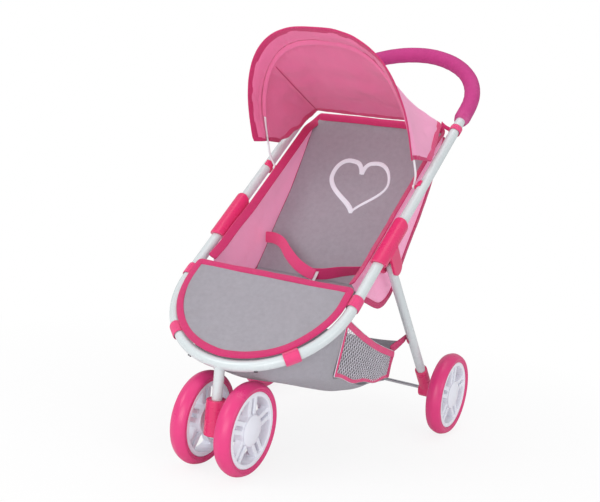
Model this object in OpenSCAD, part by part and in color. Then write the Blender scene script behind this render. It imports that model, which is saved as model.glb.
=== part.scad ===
// Folding three-wheeled doll stroller.
// Millimetres. +Z is up, the stroller's front faces -Y, and X = 0 is the plane of symmetry.
// The origin is on the floor, under the middle of the overall length.

/* [Wheels] */
// Outer diameter of every wheel
wheel_d = 120; // [110:1:125]
// Width of a tyre
tyre_w = 23; // [20:1:26]
// Diameter at which the tyre meets the rim
rim_d = 97; // [90:1:100]
// Diameter of both axles
axle_d = 5; // [4:0.5:6]
// Distance between the front and rear axles
wheelbase = 359; // [340:1:400]
// Distance between the middles of the two front wheels
front_track = 64; // [62:1:72]
// Distance between the middles of the two rear wheels
rear_track = 312; // [308:1:330]
// Distance by which the swivel axis leads the front axle
trail = 22; // [18:1:26]

/* [Frame] */
// Outer diameter of the frame tubes
tube_d = 14; // [12:0.5:15]
// Wall thickness of the tubes
tube_wall = 1.2; // [0.8:0.1:1.6]
// Distance between the axes of the two side tubes
frame_w = 246; // [236:1:250]
// Slope of the tube loop above the floor
plane_angle = 39.2; // [36:0.2:41]
// Length of the straight side tubes between the two bows
side_len = 405; // [380:1:440]
// Height of the front bow's foremost point
bow_z = 140; // [136:1:146]
// Outer diameter of the handle grip
grip_d = 23; // [20:0.5:26]
// Length of grip on each straight tube, below the handle bow
grip_tail = 28; // [15:1:40]

/* [Rear legs] */
// Outer diameter of the leg tubes
leg_d = 13; // [11:0.5:14]
// Distance of the leg pivots up the side tubes
pivot_s = 107; // [100:1:115]
// Distance of the leg pivots below the side tubes' axes
pivot_drop = 30; // [28:1:34]

/* [Hood] */
// Diameter of the hood wire
wire_d = 3; // [2:0.5:4]
// Distance of the wire's clips up the side tubes
clip_s = 230; // [215:1:245]
// Forward lean of the wire bow
wire_lean = 28; // [24:1:32]
// Height of the wire bow above its clips
wire_h = 200; // [190:1:200]

/* [Fabric] */
// Thickness of the fabric panels
cloth_t = 2; // [1.6:0.1:2.4]
// Width of the edge tape
tape_w = 8; // [6:1:10]
// Half width of the seat
seat_half_w = 105; // [100:1:106]

/* [Fits] */
// Radial clearance of the running fits
run_gap = 0.05; // [0.03:0.01:0.08]
// Gap between parts that pass each other
pass_gap = 0.6; // [0.4:0.1:1]

/* [Hidden] */
$fn = 48;
eps = 0.01;

// Overall length, from the front of the front wheels to the back of the grip, and the places in Y
bow_r = frame_w / 2;
loop_len = side_len + 2 * bow_r;
front_end = -wheel_d / 2;
rear_end = -trail + loop_len * cos(plane_angle) + grip_d / 2;
front_axle_y = -(front_end + rear_end) / 2;
rear_axle_y = front_axle_y + wheelbase;
stem_y = front_axle_y - trail;
axle_z = wheel_d / 2;

// Origin of the frame plane: the middle of the front bow's arc. In that plane x runs across, s runs
// up along the side tubes and h stands square to the plane.
plane_y = stem_y + bow_r * cos(plane_angle);
plane_z = bow_z + bow_r * sin(plane_angle);
function world_y(s, h) = plane_y + s * cos(plane_angle) - h * sin(plane_angle);
function world_z(s, h) = plane_z + s * sin(plane_angle) + h * cos(plane_angle);

// Tube screw sizes
screw_d = 5;
screw_head_t = 1.6;
screw_len = 3;
screw_sink = 0.4;
screw_angle = 22;
screw_gap = 0.05;

// Leg pivot, leg length and leg slope
pivot_y = world_y(pivot_s, -pivot_drop);
pivot_z = world_z(pivot_s, -pivot_drop);
leg_len = sqrt(pow(rear_axle_y - pivot_y, 2) + pow(pivot_z - axle_z, 2));
leg_slope = atan2(pivot_z - axle_z, rear_axle_y - pivot_y);

// Housing sizes
sleeve_d = tube_d + 8;
sleeve_len = 84;
sleeve_mid_s = 117;
ear_t = 5;
ear_r = 11;
ear_gap = leg_d + 2 * pass_gap;
pin_d = 5;
web_t = 4;

// Wheel sizes
rim_w = tyre_w - 4;
rim_wall = 6;
hub_d = 40;
hub_bore_boss_d = 15;
spoke_count = 5;
spoke_w = 6;
spoke_gap = 5;
spoke_t = 10;
spoke_out = 2;
cap_t = 4;
cap_rise = 7;
cap_sphere_r = 60;
washer_t = 1.2;
washer_d = 10;
front_axle_half = front_track / 2 + rim_w / 2 - 2;
rear_axle_half = rear_track / 2 + rim_w / 2 - 2;

// Wheel block sizes
block_w = front_track - tyre_w - 5;
boss_r = 13;
block_z0 = 50;
block_z1 = 95;
stem_end_z = block_z0 - 3;
clip_ring_t = 2;

// Foot sizes
foot_d = leg_d + 5;
foot_len = 48;
foot_boss_r = 12;
leg_end_gap = 10;

// Hood outline
wire_base_x = frame_w / 2 - 12.3;
wire_arch_x = frame_w / 2 - 8.3;
wire_straight = 19;
arch_power = 2.6;
clip_ring_r = tube_d / 2 + 2.3;
stub_d = 3.4;
hood_t = 1.6;
hood_front_y = world_y(clip_s, 0) - 46;
hood_front_z = world_z(clip_s, 0) + 37;
hood_front_x = frame_w / 2 - 0.5;
hood_front_h = 176;
hood_front_lean = 27;
hood_corner_x = frame_w / 2 - 21;
hood_corner_y = world_y(clip_s, 0) + 94;
hood_corner_z = world_z(clip_s, 0) + 88;
hood_low_y = world_y(clip_s, 0) + 22;
hood_low_z = world_z(clip_s, 0) + 36;

// Seat side profile in the frame plane's (s, h): hem, two points of the back, crease, base, front edge
hem_s = 360;
seat_top_h = -6;
crease = [112, -92];
back_line = [[hem_s - 2, seat_top_h], [300, -32], [244, -53], [182, -70], crease];
base_line = [crease, [81, -79], [60, -47], [36, -7]];
apron_s = 26;
apron_h = tube_d / 2 + 0.5;
apron_r = bow_r - 5;

// Basket side profile in world (y, z), measured from the frame plane's origin
basket_half_w = 108;
basket_line = [[-80, -84], [-30, -97], [56, -124], [116, -133], [168, -127], [177, -84]];
basket_side = [[10, -15], [163, -84], [165, -122], [1, -91]];

// ---------- helpers ----------

// Places its children in the frame plane
module in_frame() translate([0, plane_y, plane_z]) rotate([plane_angle, 0, 0]) children();

// A round bar along X, centred at x = 0
module bar_x(d, len) rotate([0, 90, 0]) cylinder(d = d, h = len, center = true);

// A ring around X, from x0 to x1
module ring_x(d_out, d_in, x0, x1)
    translate([x0, 0, 0]) rotate([0, 90, 0]) linear_extrude(x1 - x0) difference() {
        circle(d = d_out);
        circle(d = d_in);
    }

// A unit vector
function unit(v) = v / max(norm(v), eps);

// Point i of a (u, v) line moved sideways by w, with mitred corners
function side_point(line, i, w) =
    let (into = unit(line[max(i, 1)] - line[max(i, 1) - 1]), last = len(line) - 1,
        out = unit(line[min(i, last - 1) + 1] - line[min(i, last - 1)]),
        mitre = unit([-into[1] - out[1], into[0] + out[0]]))
    line[i] + mitre * w / (mitre * [-into[1], into[0]]);

// The outline of a plate of even thickness that follows a (u, v) line
module line_plate(line, t) {
    last = len(line) - 1;
    polygon([each [for (i = [0 : last]) side_point(line, i, t / 2)],
        each [for (i = [last : -1 : 0]) side_point(line, i, -t / 2)]]);
}

// Turns a (u, v) outline into a slab between x0 and x1 with u along Y and v along Z
module slab_x(x0, x1) translate([x0, 0, 0]) rotate([90, 0, 90]) linear_extrude(x1 - x0) children();

// A strip or rod along a path: each ring is the section moved and turned to face along the path
function path_dir(path, i) =
    unit(path[min(i + 1, len(path) - 1)] - path[max(i - 1, 0)]);
module sweep(path, section, side = [1, 0, 0]) {
    n = len(section);
    m = len(path);
    pts = [for (i = [0 : m - 1]) let (d = path_dir(path, i), w = unit(cross(d, side)), u = cross(w, d))
        each [for (p = section) path[i] + u * p[0] + w * p[1]]];
    walls = [for (i = [0 : m - 2], j = [0 : n - 1]) let (k = i * n, q = (j + 1) % n)
        each [[k + j, k + n + j, k + n + q], [k + j, k + n + q, k + q]]];
    ends = [[for (j = [0 : n - 1]) j], [for (j = [n - 1 : -1 : 0]) (m - 1) * n + j]];
    polyhedron(pts, concat(walls, ends));
}
function round_section(d, n = 10) = [for (i = [0 : n - 1]) d / 2 * [cos(360 * i / n), sin(360 * i / n)]];
function flat_section(w, t) = [[-w / 2, -t / 2], [w / 2, -t / 2], [w / 2, t / 2], [-w / 2, t / 2]];

// A hollow U of tube in the frame plane: half a ring with two straight arms of length arm
module tube_u(arm, d_out, d_in) {
    rotate([0, 0, 180]) rotate_extrude(angle = 180) translate([bow_r, 0]) difference() {
        circle(d = d_out);
        circle(d = d_in);
    }
    for (side = [-1, 1]) translate([side * bow_r, 0, 0]) rotate([-90, 0, 0]) linear_extrude(arm)
        difference() {
            circle(d = d_out);
            circle(d = d_in);
        }
}

// ---------- frame ----------

module front_tube() color("whitesmoke") in_frame() difference() {
    tube_u(sleeve_mid_s - 1, tube_d, tube_d - 2 * tube_wall);
    bow_screws(screw_gap);
}

module handle_tube() color("whitesmoke") in_frame() difference() {
    translate([0, side_len, 0]) rotate([0, 0, 180])
        tube_u(side_len - sleeve_mid_s - 1, tube_d, tube_d - 2 * tube_wall);
    side_screws(screw_gap);
}

module handle_grip() color("mediumvioletred") in_frame() translate([0, side_len, 0])
    rotate([0, 0, 180]) tube_u(grip_tail, grip_d, tube_d);

// Upright tube below the front bow, with a groove for its ring near the foot
module fork_stem() color("whitesmoke") difference() {
    translate([0, stem_y, stem_end_z]) cylinder(d = leg_d, h = bow_z - stem_end_z);
    in_frame() rotate([0, 0, 180]) rotate_extrude(angle = 180) translate([bow_r, 0]) circle(d = tube_d);
    translate([0, stem_y, block_z0 - clip_ring_t]) ring_groove(leg_d, clip_ring_t);
}
module ring_groove(d, h) difference() {
    cylinder(d = d + 2, h = h);
    translate([0, 0, -1]) cylinder(d = d - 2, h = h + 2);
}

// Screws under the bow and under each side tube; gap widens them all round to make their holes
module tube_screw(gap) translate([0, 0, tube_d / 2 - screw_sink - gap]) {
    cylinder(d = screw_d + 2 * gap, h = screw_head_t);
    translate([0, 0, -screw_len]) cylinder(d = screw_d / 2 + 2 * gap, h = screw_len + 1);
}
module bow_screws(gap) for (side = [-1, 1]) rotate([0, 0, side * screw_angle])
    translate([0, -bow_r, 0]) rotate([120, 0, 0]) tube_screw(gap);
module side_screws(gap) for (side = [-1, 1]) translate([side * bow_r, clip_s + 8, 0])
    rotate([180, 0, 0]) tube_screw(gap);
module tube_screws() color("silver") in_frame() {
    bow_screws(0);
    side_screws(0);
}

// ---------- hinge housings ----------

module hinge_housing() {
    difference() {
        union() {
            translate([bow_r, sleeve_mid_s - sleeve_len / 2, 0]) rotate([-90, 0, 0])
                cylinder(d = sleeve_d, h = sleeve_len);
            for (side = [-1, 1]) ear(side);
            // back web between the ears, which stops the leg when it is open
            translate([bow_r - ear_gap / 2 - eps, pivot_s + leg_d / 2 + 1.1, -pivot_drop - 2])
                cube([ear_gap + 2 * eps, web_t, pivot_drop]);
        }
        translate([bow_r, sleeve_mid_s - sleeve_len, 0]) rotate([-90, 0, 0])
            cylinder(d = tube_d, h = 2 * sleeve_len);
        translate([bow_r - ear_gap / 2 - 2 * ear_t, pivot_s, -pivot_drop]) rotate([0, 90, 0])
            cylinder(d = pin_d, h = ear_gap + 2.5 * ear_t);
    }
}
module ear(side) translate([bow_r + side * (ear_gap + ear_t) / 2, pivot_s, 0]) {
    translate([0, 0, -pivot_drop]) bar_x(2 * ear_r, ear_t);
    translate([-ear_t / 2, -ear_r, -pivot_drop]) cube([ear_t, 2 * ear_r, pivot_drop]);
}
module hinge_housing_right() color("deeppink") in_frame() hinge_housing();
module hinge_housing_left() color("deeppink") mirror([1, 0, 0]) in_frame() hinge_housing();

// The pin goes in from the inner side and stops inside the outer ear
module hinge_pin() translate([bow_r - ear_gap / 2 - ear_t - 1.5, pivot_s, -pivot_drop]) {
    rotate([0, 90, 0]) cylinder(d = pin_d + 3, h = 1.5 - eps);
    rotate([0, 90, 0]) cylinder(d = pin_d, h = ear_gap + 1.5 * ear_t + 1.5);
}
module hinge_pin_right() color("silver") in_frame() hinge_pin();
module hinge_pin_left() color("silver") mirror([1, 0, 0]) in_frame() hinge_pin();

// ---------- rear legs ----------

// Places its children at a leg's pivot with +Z up along the leg and the axle at -leg_len
module at_leg(side) translate([side * bow_r, pivot_y, pivot_z]) rotate([90 - leg_slope, 0, 0]) children();

module rear_leg(side) at_leg(side) difference() {
    union() {
        translate([0, 0, -(leg_len - leg_end_gap)]) cylinder(d = leg_d, h = leg_len - leg_end_gap);
        sphere(d = leg_d);
    }
    translate([0, 0, -leg_len]) cylinder(d = leg_d - 2 * tube_wall, h = leg_len - leg_d);
    bar_x(pin_d + 2 * run_gap, 2 * leg_d);
}
module rear_leg_right() color("whitesmoke") rear_leg(1);
module rear_leg_left() color("whitesmoke") rear_leg(-1);

module rear_foot(side) at_leg(side) difference() {
    union() {
        translate([0, 0, -leg_len]) cylinder(d = foot_d, h = foot_len);
        translate([0, 0, -leg_len]) bar_x(2 * foot_boss_r, foot_d);
    }
    translate([0, 0, -(leg_len - leg_end_gap)]) cylinder(d = leg_d, h = leg_len);
    translate([0, 0, -leg_len]) bar_x(axle_d, 3 * foot_d);
}
module rear_foot_right() color("deeppink") rear_foot(1);
module rear_foot_left() color("deeppink") rear_foot(-1);

module rear_axle() color("silver") translate([0, rear_axle_y, axle_z]) bar_x(axle_d, 2 * rear_axle_half);

// ---------- wheels ----------

// A wheel is centred at the origin with its outer face towards +X
module spoke_pair() for (side = [-1, 1])
    translate([spoke_out - spoke_t / 2, side * (spoke_gap + spoke_w) / 2 - spoke_w / 2, hub_d / 2 - 2])
        cube([spoke_t, spoke_w, rim_d / 2 - rim_wall - hub_d / 2 + 3]);

module rim(inner_boss) {
    ring_x(rim_d, rim_d - 2 * rim_wall, -rim_w / 2, rim_w / 2);
    ring_x(hub_d, axle_d + 2 * run_gap, -rim_w / 2, rim_w / 2 - cap_t - 2);
    ring_x(hub_d, hub_d - 5, rim_w / 2 - cap_t - 2 - eps, rim_w / 2 - 1);
    ring_x(hub_bore_boss_d, axle_d + 2 * run_gap, -rim_w / 2 - inner_boss, -rim_w / 2 + eps);
    for (i = [0 : spoke_count - 1]) rotate([360 * i / spoke_count, 0, 0]) spoke_pair();
}

module tyre() rotate([0, 90, 0]) rotate_extrude() difference() {
    union() {
        translate([wheel_d / 2 - tyre_w / 2, 0]) circle(d = tyre_w);
        translate([rim_d / 2, -rim_w / 2]) square([wheel_d / 2 - tyre_w / 2 - rim_d / 2 + 2, rim_w]);
    }
    translate([0, -tyre_w]) square([rim_d / 2, 2 * tyre_w]);
}

// Domed disc with a short rim that snaps into the hub's recess
module hub_cap() translate([rim_w / 2 - cap_t, 0, 0]) rotate([0, 90, 0]) rotate_extrude() {
    translate([hub_d / 2 - 4.5, 0]) square([2, cap_t]);
    intersection() {
        translate([0, cap_rise - cap_sphere_r]) circle(r = cap_sphere_r, $fn = 180);
        translate([0, cap_t - 1]) square([hub_d / 2, cap_t + cap_rise]);
    }
}

// Places a wheel: side is 1 for the right (+X) and -1 for the left
module at_front_wheel(side) translate([side * front_track / 2, front_axle_y, axle_z])
    rotate([0, 0, side > 0 ? 0 : 180]) children();
module at_rear_wheel(side) translate([side * rear_track / 2, rear_axle_y, axle_z])
    rotate([0, 0, side > 0 ? 0 : 180]) children();

front_inner_boss = (front_track - rim_w - block_w) / 2 - pass_gap;
rear_inner_boss = (rear_track - rim_w - frame_w - foot_d) / 2 - pass_gap;
module front_rim_right() color("white") at_front_wheel(1) rim(front_inner_boss);
module front_rim_left() color("white") at_front_wheel(-1) rim(front_inner_boss);
module rear_rim_right() color("white") at_rear_wheel(1) rim(rear_inner_boss);
module rear_rim_left() color("white") at_rear_wheel(-1) rim(rear_inner_boss);
module front_tyre_right() color("hotpink") at_front_wheel(1) tyre();
module front_tyre_left() color("hotpink") at_front_wheel(-1) tyre();
module rear_tyre_right() color("hotpink") at_rear_wheel(1) tyre();
module rear_tyre_left() color("hotpink") at_rear_wheel(-1) tyre();
module front_hub_cap_right() color("white") at_front_wheel(1) hub_cap();
module front_hub_cap_left() color("white") at_front_wheel(-1) hub_cap();
module rear_hub_cap_right() color("white") at_rear_wheel(1) hub_cap();
module rear_hub_cap_left() color("white") at_rear_wheel(-1) hub_cap();

// Push-on washers, one near each end of an axle, inside the hub's recess
module washers(half) for (side = [-1, 1])
    ring_x(washer_d, axle_d, side * (half - 1) - washer_t / 2, side * (half - 1) + washer_t / 2);
washer_front = front_track / 2 + rim_w / 2 - cap_t - 2 + pass_gap + washer_t / 2 + 1;
washer_rear = rear_track / 2 + rim_w / 2 - cap_t - 2 + pass_gap + washer_t / 2 + 1;
module axle_clips_front() color("silver") translate([0, front_axle_y, axle_z]) washers(washer_front);
module axle_clips_rear() color("silver") translate([0, rear_axle_y, axle_z]) washers(washer_rear);

// ---------- front wheel block ----------

module caster_block() color("mediumvioletred") difference() {
    union() {
        translate([0, stem_y, block_z0]) cylinder(r = boss_r, h = block_z1 - block_z0);
        translate([0, front_axle_y, axle_z]) bar_x(2 * boss_r - 2, block_w);
        translate([-block_w / 4, stem_y, axle_z - 8]) cube([block_w / 2, trail, 30]);
    }
    translate([0, stem_y, 0]) cylinder(d = leg_d + 2 * run_gap, h = 2 * block_z1);
    translate([0, front_axle_y, axle_z]) bar_x(axle_d, 2 * block_w);
}
module caster_clip() color("silver") translate([0, stem_y, block_z0 - clip_ring_t + 0.1])
    linear_extrude(clip_ring_t - 0.3) difference() {
        circle(d = leg_d + 5);
        circle(d = leg_d - 2 + 4 * run_gap);
    }
module front_axle() color("silver") translate([0, front_axle_y, axle_z]) bar_x(axle_d, 2 * front_axle_half);

// ---------- hood ----------

// A point of a rounded arch: angle 0 is its right foot and 180 its left one
function arch_x(a, half_w, p) = half_w * sign(cos(a)) * pow(abs(cos(a)), 2 / p);
function arch_t(a, rise, p) = rise * pow(abs(sin(a)), 2 / p);

clip_y = world_y(clip_s, 0);
clip_z = world_z(clip_s, 0);
function wire_point(x, t) = [x, clip_y - t * sin(wire_lean), clip_z + t * cos(wire_lean)];
arch_steps = 28;
wire_path = concat(
    [wire_point(wire_base_x, stub_d / 2 + 0.8)],
    [for (i = [0 : arch_steps]) let (a = 180 * i / arch_steps)
        wire_point(arch_x(a, wire_arch_x, arch_power),
            wire_straight + arch_t(a, wire_h - wire_straight, arch_power))],
    [wire_point(-wire_base_x, stub_d / 2 + 0.8)]);

eye_w = 3;
module canopy_wire() color("white") {
    difference() {
        union() {
            sweep(wire_path, round_section(wire_d), [0, cos(wire_lean), sin(wire_lean)]);
            for (side = [-1, 1]) translate([side * wire_base_x, clip_y, clip_z])
                bar_x(stub_d + 3.6, eye_w);
        }
        translate([0, clip_y, clip_z]) bar_x(stub_d + 2 * run_gap, frame_w);
    }
}

// C-shaped clip round a side tube, with a headed stub on its inner side that the wire's eye turns on
clip_w = 10;
module canopy_clip() {
    translate([bow_r, clip_s - clip_w / 2, 0]) rotate([-90, 0, 0]) linear_extrude(clip_w) difference() {
        circle(r = clip_ring_r);
        circle(d = tube_d);
        translate([0, -sleeve_d / 2]) square([sleeve_d, sleeve_d]);
    }
    translate([wire_base_x - eye_w / 2 - 0.4, clip_s, 0]) rotate([0, 90, 0])
        cylinder(d = stub_d, h = bow_r - tube_d / 2 - wire_base_x + eye_w / 2);
    translate([wire_base_x - eye_w / 2 - 1.6, clip_s, 0]) rotate([0, 90, 0])
        cylinder(d = stub_d + 3, h = 1.2 + eps);
}
module canopy_clip_right() color("deeppink") in_frame() canopy_clip();
module canopy_clip_left() color("deeppink") mirror([1, 0, 0]) in_frame() canopy_clip();

// Hood: a sheet ruled from its front arch over the wire to its rear edge. Along the rear edge the
// points run from a low corner up to the tied corner and then straight across the hem.
seam_angle = 40;
function lerp(a, b, f) = a + (b - a) * f;
function hood_front(a) = [arch_x(a, hood_front_x, arch_power),
    hood_front_y - arch_t(a, hood_front_h, arch_power) * sin(hood_front_lean),
    hood_front_z + arch_t(a, hood_front_h, arch_power) * cos(hood_front_lean)];
function hood_side_edge(f) = [lerp(hood_front_x, hood_corner_x, f), lerp(hood_low_y, hood_corner_y, f),
    lerp(hood_low_z, hood_corner_z, f)];
function hood_rear(a) =
    a < seam_angle ? hood_side_edge(a / seam_angle)
    : a > 180 - seam_angle ? let (p = hood_side_edge((180 - a) / seam_angle)) [-p[0], p[1], p[2]]
    : [lerp(hood_corner_x, -hood_corner_x, (a - seam_angle) / (180 - 2 * seam_angle)),
        hood_corner_y, hood_corner_z];
hood_cols = 24;
hood_rows = 4;
function hood_point(i, j) = lerp(hood_front(180 * i / hood_cols), hood_rear(180 * i / hood_cols), j / hood_rows);
function hood_normal(i, j) = unit(cross(
    hood_point(i, min(j + 1, hood_rows)) - hood_point(i, max(j - 1, 0)),
    hood_point(min(i + 1, hood_cols), j) - hood_point(max(i - 1, 0), j)));
function quad(a, b, c, d) = [[a, b, c], [a, c, d]];
module canopy_hood() color("hotpink") {
    w = hood_rows + 1;
    n = (hood_cols + 1) * w;
    inner = [for (i = [0 : hood_cols], j = [0 : hood_rows]) hood_point(i, j)];
    outer = [for (i = [0 : hood_cols], j = [0 : hood_rows]) hood_point(i, j) + hood_t * hood_normal(i, j)];
    cells = [for (i = [0 : hood_cols - 1], j = [0 : hood_rows - 1]) let (k = i * w + j)
        each concat(quad(k, k + w, k + w + 1, k + 1), quad(n + k, n + k + 1, n + k + w + 1, n + k + w))];
    long_edges = [for (i = [0 : hood_cols - 1]) let (k = i * w)
        each concat(quad(k, n + k, n + k + w, k + w),
            quad(k + w - 1, k + 2 * w - 1, n + k + 2 * w - 1, n + k + w - 1))];
    ends = [for (j = [0 : hood_rows - 1]) let (k = hood_cols * w)
        each concat(quad(j, j + 1, n + j + 1, n + j), quad(k + j, n + k + j, n + k + j + 1, k + j + 1))];
    polyhedron(concat(inner, outer), concat(cells, long_edges, ends));
}

// Loops of tape round the side tubes at the hood's rear corners
tie_s = 356;
module canopy_ties() color("deeppink") in_frame() for (side = [-1, 1])
    translate([side * bow_r, tie_s - 5, 0]) rotate([-90, 0, 0]) linear_extrude(10) difference() {
        circle(d = tube_d + 3);
        circle(d = tube_d + 0.4);
    }

// ---------- seat ----------

module plane_slab(x0, x1) in_frame() slab_x(x0, x1) children();

module seat_back() color("silver") plane_slab(-seat_half_w, seat_half_w)
    line_plate(back_line, cloth_t);
module seat_base() color("silver") plane_slab(-seat_half_w, seat_half_w) difference() {
    line_plate(base_line, cloth_t);
    translate(crease) circle(d = 3 * cloth_t);
}
module side_panel(x0, x1) plane_slab(x0, x1)
    polygon(concat(back_line, [for (i = [1 : len(base_line) - 1]) base_line[i]]));
panel_x = seat_half_w + 1;
module side_panel_right() color("pink") side_panel(panel_x, panel_x + cloth_t);
module side_panel_left() color("pink") side_panel(-panel_x - cloth_t, -panel_x);

// Edge tape: across the hem and down both sides, just inside the tubes
module seat_binding() color("deeppink") in_frame() {
    translate([-panel_x - cloth_t, hem_s - 1, seat_top_h - 2]) cube([2 * (panel_x + cloth_t), tape_w / 2, 3]);
    for (side = [-1, 1]) translate([side * (panel_x + cloth_t / 2) - 1, 38, seat_top_h + 0.2])
        cube([2, hem_s - 38, 1.8]);
}

module apron_outline(r, s) {
    intersection() {
        circle(r = r, $fn = 96);
        translate([-r, -r]) square([2 * r, r + eps]);
    }
    translate([-r, 0]) square([2 * r, s]);
}
module front_apron() color("silver") in_frame() translate([0, 0, apron_h])
    linear_extrude(cloth_t) apron_outline(apron_r - tape_w, apron_s - tape_w);
module apron_binding() color("deeppink") in_frame() translate([0, 0, apron_h])
    linear_extrude(cloth_t + 0.6) difference() {
        apron_outline(apron_r, apron_s);
        apron_outline(apron_r - tape_w, apron_s - tape_w);
    }

// Loops of tape that hold the panel and the basket: two on the bow and one on each side tube
loop_w = 14;
loop_angle = 40;
side_loop_s = 8;
module strap_loop() rotate([0, 90, 0]) linear_extrude(loop_w, center = true) difference() {
    circle(d = tube_d + 3.4);
    circle(d = tube_d + 1);
    translate([-apron_h - 10, -10]) square([10.3, 20]);
}
module strap_loops() color("hotpink") in_frame() {
    for (side = [-1, 1]) rotate([0, 0, side * loop_angle]) translate([0, -bow_r, 0]) strap_loop();
    for (side = [-1, 1]) translate([side * bow_r, side_loop_s, 0]) rotate([0, 0, 90]) strap_loop();
}

// Lap belt: two strips of webbing that meet at the tab
belt_w = 18;
belt_t = 1.6;
tab_len = 22;
belt_start = tab_len / 2 + 2.5;
belt_end_gap = 5;
belt_meet = [4, 101, -66];
belt_right_path = [belt_meet + [belt_start, 0, 0], [40, 101, -58], [75, 108, -52],
    [panel_x - belt_end_gap, 120, -50]];
belt_left_path = [belt_meet - [belt_start, 0, 0], [-35, 112, -72], [-75, 138, -66],
    [-panel_x + belt_end_gap, 150, -62]];
module belt_right() color("deeppink") in_frame()
    sweep(belt_right_path, flat_section(belt_w, belt_t), [0, 0.8, 0.6]);
module belt_left() color("deeppink") in_frame()
    sweep(belt_left_path, flat_section(belt_w, belt_t), [0, 0.8, 0.6]);
module belt_tab() color("white") in_frame() translate(belt_meet)
    rotate([37, 0, 0]) cube([tab_len, belt_w, 3], center = true);

// ---------- basket ----------

module basket_slab(x0, x1) translate([0, plane_y, plane_z]) slab_x(x0, x1) children();

module basket() color("gray") intersection() {
    basket_slab(-basket_half_w, basket_half_w) line_plate(basket_line, cloth_t);
    translate([0, plane_y + basket_line[0][0] + basket_half_w, 0]) {
        cylinder(r = basket_half_w + 1, h = plane_z, $fn = 96);
        translate([-bow_r, 0, 0]) cube([frame_w, side_len, plane_z]);
    }
}
module basket_mesh(x0, x1) basket_slab(x0, x1) polygon(basket_side);
mesh_x = basket_half_w + 1;
module basket_mesh_right() color("lightgray") basket_mesh(mesh_x, mesh_x + cloth_t);
module basket_mesh_left() color("lightgray") basket_mesh(-mesh_x - cloth_t, -mesh_x);

// Loops of tape round the rear legs that hold the basket's rear corners
basket_strap_at = 155;
module basket_straps() color("deeppink") for (side = [-1, 1]) at_leg(side)
    translate([0, 0, -basket_strap_at]) linear_extrude(10) difference() {
        circle(d = leg_d + 2.6);
        circle(d = leg_d + 0.4);
    }

front_tube();
handle_tube();
handle_grip();
fork_stem();
tube_screws();
hinge_housing_right();
hinge_housing_left();
hinge_pin_right();
hinge_pin_left();
canopy_clip_right();
canopy_clip_left();
seat_back();
seat_base();
side_panel_right();
side_panel_left();
seat_binding();
front_apron();
apron_binding();
strap_loops();
belt_right();
belt_left();
belt_tab();
basket();
basket_mesh_right();
basket_mesh_left();
canopy_ties();
caster_block();
caster_clip();
front_axle();
axle_clips_front();
front_rim_right();
front_tyre_right();
front_hub_cap_right();
front_rim_left();
front_tyre_left();
front_hub_cap_left();
rear_leg_right();
rear_leg_left();
rear_foot_right();
rear_foot_left();
rear_axle();
axle_clips_rear();
basket_straps();
rear_rim_right();
rear_tyre_right();
rear_hub_cap_right();
rear_rim_left();
rear_tyre_left();
rear_hub_cap_left();
canopy_wire();
canopy_hood();
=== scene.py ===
"""A folding three-wheeled doll stroller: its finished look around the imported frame.

Units are metres. The stroller stands on the floor, +Z is up, its front faces -Y and X = 0 is its middle.
Measures written in millimetres go through MM, at() or world().
"""

from itertools import accumulate
from math import atan2, copysign, cos, exp, hypot, pi, radians, sin, sqrt

import bmesh
import bpy
from mathutils import Matrix, Vector
from mathutils.noise import noise

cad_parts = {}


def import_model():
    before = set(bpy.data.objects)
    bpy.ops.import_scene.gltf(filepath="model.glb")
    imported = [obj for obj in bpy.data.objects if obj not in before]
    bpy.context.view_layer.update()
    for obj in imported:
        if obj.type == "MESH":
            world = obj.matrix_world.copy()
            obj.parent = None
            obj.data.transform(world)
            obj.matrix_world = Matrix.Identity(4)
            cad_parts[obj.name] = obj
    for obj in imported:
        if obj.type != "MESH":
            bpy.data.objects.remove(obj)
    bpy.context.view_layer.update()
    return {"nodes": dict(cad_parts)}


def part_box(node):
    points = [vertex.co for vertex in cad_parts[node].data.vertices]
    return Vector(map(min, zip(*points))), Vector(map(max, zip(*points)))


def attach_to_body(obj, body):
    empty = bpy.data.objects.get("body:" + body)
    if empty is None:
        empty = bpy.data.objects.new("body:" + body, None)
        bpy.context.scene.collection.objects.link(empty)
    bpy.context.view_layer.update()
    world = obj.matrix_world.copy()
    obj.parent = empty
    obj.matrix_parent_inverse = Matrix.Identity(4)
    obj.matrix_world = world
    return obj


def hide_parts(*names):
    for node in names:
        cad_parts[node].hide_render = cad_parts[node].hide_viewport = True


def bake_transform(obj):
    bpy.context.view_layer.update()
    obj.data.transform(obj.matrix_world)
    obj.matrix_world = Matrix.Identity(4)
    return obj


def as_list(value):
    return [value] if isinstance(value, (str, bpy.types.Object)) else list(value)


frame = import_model()

MM = 0.001
SIDES = ((1, "right"), (-1, "left"))
PLANE_ANGLE = radians(39.2)
COS, SIN = cos(PLANE_ANGLE), sin(PLANE_ANGLE)


def middle(node):
    """The middle of a node's box."""
    low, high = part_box(node)
    return (low + high) / 2


# Sizes in millimetres. Those from BOW_R on are read from the frame
TUBE_R, SIDE_LEN = 7.0, 405
CLIP_S, PIVOT_S, PIVOT_DROP = 230, 107, 30
BOW_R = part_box("front_tube")[1].x / MM - TUBE_R
STEM_Y = middle("fork_stem").y / MM
PLANE_Y = STEM_Y + BOW_R * COS
PLANE_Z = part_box("front_tube")[0].z / MM + TUBE_R + BOW_R * SIN
WHEEL_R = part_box("front_tyre_right")[1].z / MM / 2
RIM_R = (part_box("front_rim_right")[1].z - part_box("front_rim_right")[0].z) / MM / 2

PLANE_X = Vector((1, 0, 0))
PLANE_S = Vector((0, COS, SIN))
PLANE_H = Vector((0, -SIN, COS))


def at(x, s, h):
    """A point of the frame plane in metres: x across, s up the side tubes, h square to the plane."""
    return Vector((x, PLANE_Y + s * COS - h * SIN, PLANE_Z + s * SIN + h * COS)) * MM


def world(x, y, z):
    """A point in metres from millimetres."""
    return Vector((x, y, z)) * MM


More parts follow.
